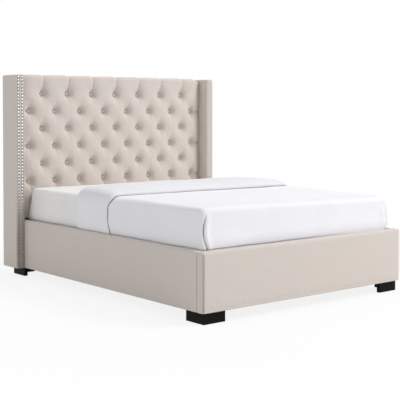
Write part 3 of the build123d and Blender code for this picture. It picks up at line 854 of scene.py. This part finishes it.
def drawn_in(place, outward, swell):
    """How far a side of the bedding draws in by the rails, less its swell above them."""
    rise = place.z - RAIL_TOP
    upright = 1 - smooth((abs(outward.z) - 0.4) / 0.4)
    free = 1 - smooth(outward.y / 0.6)
    wander = 0.004 * noise.noise(Vector((place.x * 5, place.y * 5, 1.0)))
    at_far_foot = smooth((place.x + 0.3) / 0.9) * smooth(-outward.y)
    tuck = TUCK_IN * (1 - 1.2 * at_far_foot) * (1 - smooth((rise + wander) / TUCK_HEIGHT))
    return upright * free * (tuck - swell * math.exp(-(((rise - SWELL_RISE) / SWELL_SPREAD) ** 2)))


def sag(place):
    """How far the bedding's top lies below its full height: more towards the far foot corner."""
    across = smooth((place.x - QUILT_LOW.x) / (QUILT_HIGH.x - QUILT_LOW.x))
    along = 1 - smooth((place.y - QUILT_LOW.y) / SAG_LENGTH)
    share = SAG_AT_HEAD + (1 - SAG_AT_HEAD) * along
    return share * across * FAR_SAG * smooth((place.z - RAIL_TOP) / 0.18)


def settle(form):
    """Lets each point down by the bedding's sag."""
    for point in form.verts:
        point.co.z -= sag(point.co)


def squeezed(place, outward, by_sheet=0.0):
    """How far the mattress gives way under the quilt, by the pad and to its sheet."""
    under = 1 - smooth((place.y - QUILT_HIGH.y + 0.16) / 0.1)
    give = UNDER_QUILT * under + BY_PAD * smooth(outward.y * 1.6) + by_sheet
    return give * smooth((place.z - MATTRESS_LOW.z - 0.005) / 0.03)


def mattress_radii(top):
    """A mattress's corners are sharp below, where its side is pressed, and wide above."""

    def corner(z):
        return SHARP_CORNER + CORNER_GROWTH * min(max((z - RAIL_TOP) / (top - RAIL_TOP), 0.0), 1.0)

    return corner, MATTRESS_TOP_EDGE, MATTRESS_FOOT_EDGE


def rail_cuts():
    """Cuts close together where the bedding passes the rails."""
    return [RAIL_TOP + RAIL_CUT * step for step in range(-2, 7)]


def bedding_block(low, high, spacing):
    """A soft block of the mattress's shape, with its cuts even on the flats."""
    cuts = [cut_places(low[axis], high[axis], END_REACH, spacing, 8) for axis in range(3)]
    cuts[2] = sorted(cuts[2] + rail_cuts())
    return soft_block(low, high, mattress_radii(high.z), cuts)


def make_mattress():
    """The mattress in ticking."""
    form = bedding_block(MATTRESS_LOW, MATTRESS_HIGH, MATTRESS_CUT)

    def height(place, outward):
        return -drawn_in(place, outward, SHEET_SWELL) - squeezed(place, outward, BY_SHEET)

    displace(form, height)
    settle(form)
    piece = make_piece("mattress_in_ticking", form, TICKING, ["mattress"], "mattress")


def make_fitted_sheet():
    """The fitted sheet, stretched over the mattress and open underneath."""
    low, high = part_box("fitted_sheet")
    low.z = MATTRESS_LOW.z
    form = bedding_block(low, high, EVEN_CUT)
    take_away(form, lambda middle: middle.z < low.z + SHEET_HEM)

    def height(place, outward):
        full = 0.0006 + bedding_noise(place, 0.0008)
        return full - drawn_in(place, outward, SHEET_SWELL) - squeezed(place, outward)

    displace(form, height)
    settle(form)
    name = "fitted_cotton_sheet"
    piece = make_piece(name, form, SHEET_COTTON, ["fitted_sheet"], "mattress")
    thicken(piece, SHEET_THICKNESS)


class Quilt:
    """The quilt's outside: a drape over the mattress's foot end, from its hem to the fold."""

    def __init__(self):
        self.hem = QUILT_LOW.z
        self.fold = QUILT_HIGH.y
        self.crease = self.fold - BAND_WIDTH
        self.width = self.fold - self.crease
        self.low = Vector((MATTRESS_LOW.x - QUILT_GROWTH, QUILT_LOW.y, self.hem - 0.05))
        top = MATTRESS_HIGH.z + QUILT_GROWTH
        self.high = Vector((MATTRESS_HIGH.x + QUILT_GROWTH, self.fold + 0.1, top))

    def upper(self, x, y):
        """The upper edges are rounder near the band, where the filling is thicker."""
        past_corner = smooth((y - self.low.y - QUILT_CORNER) / 0.25)
        near_band = smooth((y - self.crease + 0.45) / 0.4)
        return QUILT_CORNER + 0.012 * past_corner + 0.018 * near_band

    def form(self, y_cuts, first, last):
        """The drape between two places along the bed."""
        near_side = [FINE_CUT * step for step in range(1, 15)] + [0.042, 0.05, 0.06, 0.07, 0.08]
        across = [self.low.x + reach for reach in near_side]
        across += [self.low.x + near_side[-1] + EVEN_CUT * step for step in range(1, 40)]
        across += [self.high.x - reach for reach in near_side]
        up = cut_places(self.low.z, self.high.z, 0.08, 0.02, 16) + rail_cuts()
        radii = (QUILT_CORNER, self.upper, 0.01)
        form = soft_block(self.low, self.high, radii, [sorted(across), y_cuts, sorted(up)])
        take_away(form, lambda middle: middle.z < self.hem or not first < middle.y < last)
        settle(form)
        for point in form.verts:
            near = max(0.0, 1 - abs(point.co.y - self.crease) / 0.15)
            point.co.y += (self.crease_at(point.co.z) - self.crease) * near
            point.co.x += self.bulge(point.co)
        return form

    def bulge(self, place):
        """How far the side stands out beyond the rail at the far foot corner."""
        across = smooth((place.x - self.high.x + 0.3) / 0.3)
        along = 1 - smooth((place.y - self.low.y) / 0.45)
        return FAR_BULGE * across * along * smooth((place.z - RAIL_TOP) / 0.03)

    def crease_at(self, z):
        """Where the band's foot edge lies at a height: on the sides it bows towards the head."""
        up = smooth((z - RAIL_TOP) / 0.1)
        return self.crease + BAND_BOW * up * (1 - smooth((z - self.high.z + 0.075) / 0.06))

    def before_crease(self, place):
        """How far a place lies from the band's foot edge, towards the foot."""
        return max(0.0, self.crease_at(place.z) - place.y)

    def round_corner(self, place):
        """The way round a foot corner to a place: 0 at its middle, more towards the side."""
        past_x = abs(place.x) - (self.high.x - QUILT_CORNER)
        past_y = self.low.y + QUILT_CORNER - place.y
        turn = math.atan2(max(past_x, 0.0), max(past_y, 0.0)) - math.pi / 4
        return QUILT_CORNER * turn + max(-past_y, 0.0) - max(-past_x, 0.0)

    def corner_crease(self, place):
        """The way to the crease where the side and the foot meet, and the crease's strength."""
        up = min(max((place.z - RAIL_TOP) / (self.high.z - 0.03 - RAIL_TOP), 0.0), 1.0)
        if place.x > 0:
            strength = smooth((up - 0.1) / 0.4) * (1 - smooth((up - 0.55) / 0.25))
            return abs(self.round_corner(place) + 0.012), 0.6 * strength
        path = -0.028 + 0.024 * math.sin(math.pi * up) ** 0.8
        strength = 1 - smooth((place.z - self.high.z + 0.065) / 0.04)
        return abs(self.round_corner(place) - path), strength


def crease_height(away):
    """The quilt's height beside a crease: a narrow slit between two puffs."""
    slit = CREASE_DEPTH * math.exp(-((away / CREASE_WIDTH) ** 2))
    return CREASE_PUFF * math.exp(-(((away - 0.018) / 0.018) ** 2)) - slit


def crease_painted_shade(away):
    """How deep inside a crease a place lies, from 0 to 1: the strength of its painted shade."""
    return math.exp(-((away / (0.7 * CREASE_WIDTH)) ** 2))


def quilt_cuts(start, crease):
    """Cuts across the quilt, close together at its foot and towards its crease by the band."""
    near_foot = [start + FINE_CUT * step for step in range(1, 26)] + [start + 0.075, start + 0.09]
    along = [start + 0.09 + (crease - 0.06 - start - 0.09) * step / 22 for step in range(1, 22)]
    before_crease = (0.06, 0.045, 0.033, 0.024, 0.017, 0.012, 0.008, 0.005, 0.0025, 0.0)
    under_band = (0.02, 0.05, 0.1, 0.15)
    near_crease = [crease - reach for reach in before_crease] + [crease + reach for reach in under_band]
    return near_foot + along + near_crease


def make_quilt():
    """The quilt, tucked in over the foot of the mattress, with its turned-back band."""
    quilt = Quilt()
    cuts = quilt_cuts(quilt.low.y, quilt.crease)
    form = quilt.form(cuts, quilt.low.y - 1, quilt.crease + 0.15)

    def height(place, outward):
        side = 1 - 0.6 * smooth(outward.z)
        fold = side * crease_height(quilt.before_crease(place))
        away, strength = quilt.corner_crease(place)
        corner = strength * crease_height(away)
        return bedding_noise(place, 0.0022) + fold + corner - drawn_in(place, outward, QUILT_SWELL)

    # Painted shade inside the creases, unevenly strong along them.
    def shade(place, outward):
        away, strength = quilt.corner_crease(place)
        fold = crease_painted_shade(quilt.before_crease(place))
        uneven_shade = 0.62 + 0.9 * noise.noise(place * 16)
        return min(max(max(fold, strength * crease_painted_shade(away)) * uneven_shade, 0.0), 1.0)

    note_painted_shade(form, shade)
    displace(form, height)
    piece = make_piece("tucked_quilt", form, QUILT_COTTON, ["quilt"], "quilt")
    thicken(piece, QUILT_THICKNESS)
    make_band(quilt)


def rolled_edge(reach, radius):
    """A rolled edge's section, that starts tucked under: how far in it stands, and how high."""
    turn = math.radians(155 * min(reach / radius, 1.0) - 65)
    stands_in = radius * (1 - math.cos(turn)) + max(0.0, reach - radius)
    return stands_in, radius * (math.sin(turn) + ROLL_START)


def band_crown(from_foot, from_head, x):
    """How full the band is on top, from 0 to 1: less near its edges and towards its ends."""
    foot = 1 - (1 - min(from_foot / 0.2, 1.0)) ** 2.5
    head = 1 - (1 - min(from_head / 0.07, 1.0)) ** 2.5
    return foot * head * (1 - 0.45 * smooth((abs(x) - 0.5) / 0.25))


def band_move(quilt, place, outward):
    """How far a point of the flat drape moves to become part of the thick band."""
    shift = quilt.crease_at(place.z) - quilt.crease
    reach = min(max(place.y - quilt.crease - shift, 0.0), quilt.width)
    top = smooth(outward.z)
    scale = BAND_SIDE + (1 - BAND_SIDE) * top
    foot_in, foot_up = rolled_edge(reach, BAND_ROLL)
    head_in, head_up = rolled_edge(quilt.width - reach, BAND_ROLL)
    rise = BAND_RISE - (1 + ROLL_START) * BAND_ROLL
    crown = rise * band_crown(reach, quilt.width - reach, place.x)
    height = scale * min(foot_up, head_up) + top * crown
    height += bedding_noise(place + Vector((0, 5, 0)), 0.002) - drawn_in(place, outward, QUILT_SWELL)
    place_in = scale * ((foot_in - reach) - (head_in - quilt.width + reach))
    return outward * height + Vector((0.0, place_in, 0.0))


def make_band(quilt):
    """The thick band where the quilt is turned back on itself."""
    rolled = [BAND_ROLL * step / 10 for step in range(11)]
    inner = [BAND_ROLL + (quilt.width - 2 * BAND_ROLL) * step / 26 for step in range(1, 26)]
    reaches = rolled + inner + [quilt.width - reach for reach in reversed(rolled)]
    form = quilt.form([quilt.crease + reach for reach in reaches], quilt.crease, quilt.fold)
    form.normal_update()

    # Painted shade in the band's foot crease and on its top.
    def shade(place, outward):
        fold = crease_painted_shade(max(0.0, place.y - quilt.crease_at(place.z)))
        return max(fold, BAND_TOP_PAINTED_SHADE * smooth(outward.z))

    note_painted_shade(form, shade)
    for point in form.verts:
        point.co += band_move(quilt, point.co, point.normal)
    piece = make_piece("turned_back_band", form, QUILT_COTTON, (), "quilt")
    thicken(piece, BAND_THICKNESS)


# --- Carried-over parts ---


def both(*stems):
    """The names of left and right parts."""
    return [f"{stem}_{word}" for stem in stems for word in SIDES]


def dress(finish, names):
    """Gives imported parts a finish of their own."""
    for name in names:
        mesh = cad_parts[name].data
        mesh.materials.clear()
        mesh.materials.append(finish)


def dress_frame():
    """Timber, metal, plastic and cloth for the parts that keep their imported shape."""
    rails = [f"headboard_{place}_rail" for place in ("top", "middle", "bottom")]
    slats = [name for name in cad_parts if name.startswith("slat_") and name[5:].isdigit()]
    legs = [f"centre_leg_{number}" for number in (1, 2, 3)]
    glides = [f"levelling_glide_{number}" for number in (1, 2, 3)]
    bolts = ["corner_bolts", "wing_bolts", "centre_leg_bolts"]
    screws = ["ledger_screws", "hanger_screws", "foot_screws"]
    plates = ["corner_brackets", "beam_hanger_foot", "beam_hanger_head"]
    dress(LINEN, ["headboard_back_panel"])
    dress(BUTTON_LINEN, ["tuft_buttons"])
    dress(PEWTER, both("wing_nailheads"))
    dress(BLACK_STAIN, both("footboard_foot", "headboard_foot"))
    dress(PLY[1], ["tufting_backer", "footboard_board"])
    dress(PLY[0], both("wing_core", "side_rail_board"))
    dress(PINE[2], both("headboard_post") + legs)
    dress(PINE[0], rails + slats)
    dress(PINE[1], both("slat_ledger") + ["centre_beam"])
    dress(ZINC, bolts + screws + plates)
    dress(PLASTIC, glides)
    dress(WEBBING, ["slat_tapes"])


# --- Studio ---

CAMERA_PLACE = (-4.0714, -5.0343, 1.1669)
CAMERA_YAW = math.radians(39.212)
CAMERA_PITCH = math.radians(1.5)
CAMERA_LENS = 85.25  # in millimetres
CAMERA_SENSOR = 36.0  # its width, in millimetres
CAMERA_SHIFT = -0.16  # downwards, in picture widths
FLOOR_COLOUR = (0.86, 0.86, 0.86, 1.0)
ROOM_LIGHT = 0.58  # the strength of the even light from all round
NEAR_WHITENESS = 0.86  # how white the floor is seen under the bed
NEAR_FLOOR = 1.2  # how far from the bed's middle it stays so
FAR_FLOOR = 3.6  # from where on it is seen white
LAMPS = (  # name, place, target, width in metres, power in watts
    ("key_lamp", (10.4, -8.6, 15.4), (0.0, 0.0, 0.6), 7.0, 2030.0),
    ("front_lamp", (4.2, -5.4, 1.9), (0.0, 0.0, 0.6), 2.0, 52.0),
    ("top_lamp", (1.1, 1.55, 5.2), (0.0, 0.0, 0.6), 3.0, 25.0),
    ("side_lamp", (-6.0, 0.6, 2.6), (0.0, 0.0, 0.7), 3.0, 25.0),
)


def make_camera():
    """The camera, level with the mattress and to the left of the foot."""
    data = bpy.data.cameras.new("camera")
    data.lens = CAMERA_LENS
    data.sensor_width = CAMERA_SENSOR
    data.shift_y = CAMERA_SHIFT
    turn = (math.pi / 2 - CAMERA_PITCH, 0.0, -CAMERA_YAW)
    scene.camera = stand("camera", data, CAMERA_PLACE, turn)


def make_world():
    """Even light from all round, and a white background."""
    world = bpy.data.worlds.new("studio")
    scene.world = world
    world.use_nodes = True
    nodes = Nodes(world.node_tree)
    background = nodes.tree.nodes["Background"]
    inputs = {"Factor": nodes.seen_directly(), "A": ROOM_LIGHT, "B": 1.0}
    strength = nodes.add("ShaderNodeMix", inputs).outputs["Result"]
    nodes.feed(background, {"Color": (1.0, 1.0, 1.0, 1.0), "Strength": strength})


def whiteness(nodes):
    """How white the floor is seen: less near the bed, where it keeps a shadow."""
    place = nodes.add("ShaderNodeTexCoord").outputs["Object"]
    distance = nodes.add("ShaderNodeVectorMath", {0: place}, operation="LENGTH")
    length = distance.outputs["Value"]
    return nodes.ramp(length, NEAR_FLOOR, FAR_FLOOR, NEAR_WHITENESS, 1.0, "SMOOTHSTEP")


def make_floor():
    """A white floor that keeps a soft shadow."""
    form = bmesh.new()
    bmesh.ops.create_grid(form, x_segments=1, y_segments=1, size=30.0)
    mesh = bpy.data.meshes.new("floor")
    form.to_mesh(mesh)
    form.free()
    floor = stand("floor", mesh)
    material = bpy.data.materials.new("floor")
    material.use_nodes = True
    nodes = Nodes(material.node_tree)
    diffuse = nodes.tree.nodes["Principled BSDF"]
    nodes.feed(diffuse, {"Base Color": FLOOR_COLOUR, "Roughness": 1.0})
    nodes.feed(diffuse, {"Specular IOR Level": 0.0})
    white = nodes.add("ShaderNodeEmission")
    share = nodes.math("MULTIPLY", nodes.seen_directly(), whiteness(nodes))
    inputs = {"Fac": share, 1: diffuse.outputs[0], 2: white.outputs[0]}
    mixed = nodes.add("ShaderNodeMixShader", inputs)
    nodes.feed(nodes.tree.nodes["Material Output"], {"Surface": mixed.outputs[0]})
    mesh.materials.append(material)


def make_lamp(name, place, target, size, power):
    """A large soft lamp that faces a point on the bed."""
    data = bpy.data.lights.new(name, "AREA")
    data.shape = "SQUARE"
    data.size = size
    data.energy = power
    towards = Vector(target) - Vector(place)
    stand(name, data, place, towards.to_track_quat("-Z", "Y").to_euler())


def make_studio():
    """Camera, background, floor and lamps."""
    make_camera()
    make_world()
    make_floor()
    for lamp in LAMPS:
        make_lamp(*lamp)
    scene.view_settings.view_transform = "Standard"


make_studio()
tufted_headboard()
make_upholstery()
make_mattress()
make_fitted_sheet()
make_quilt()
dress_frame()
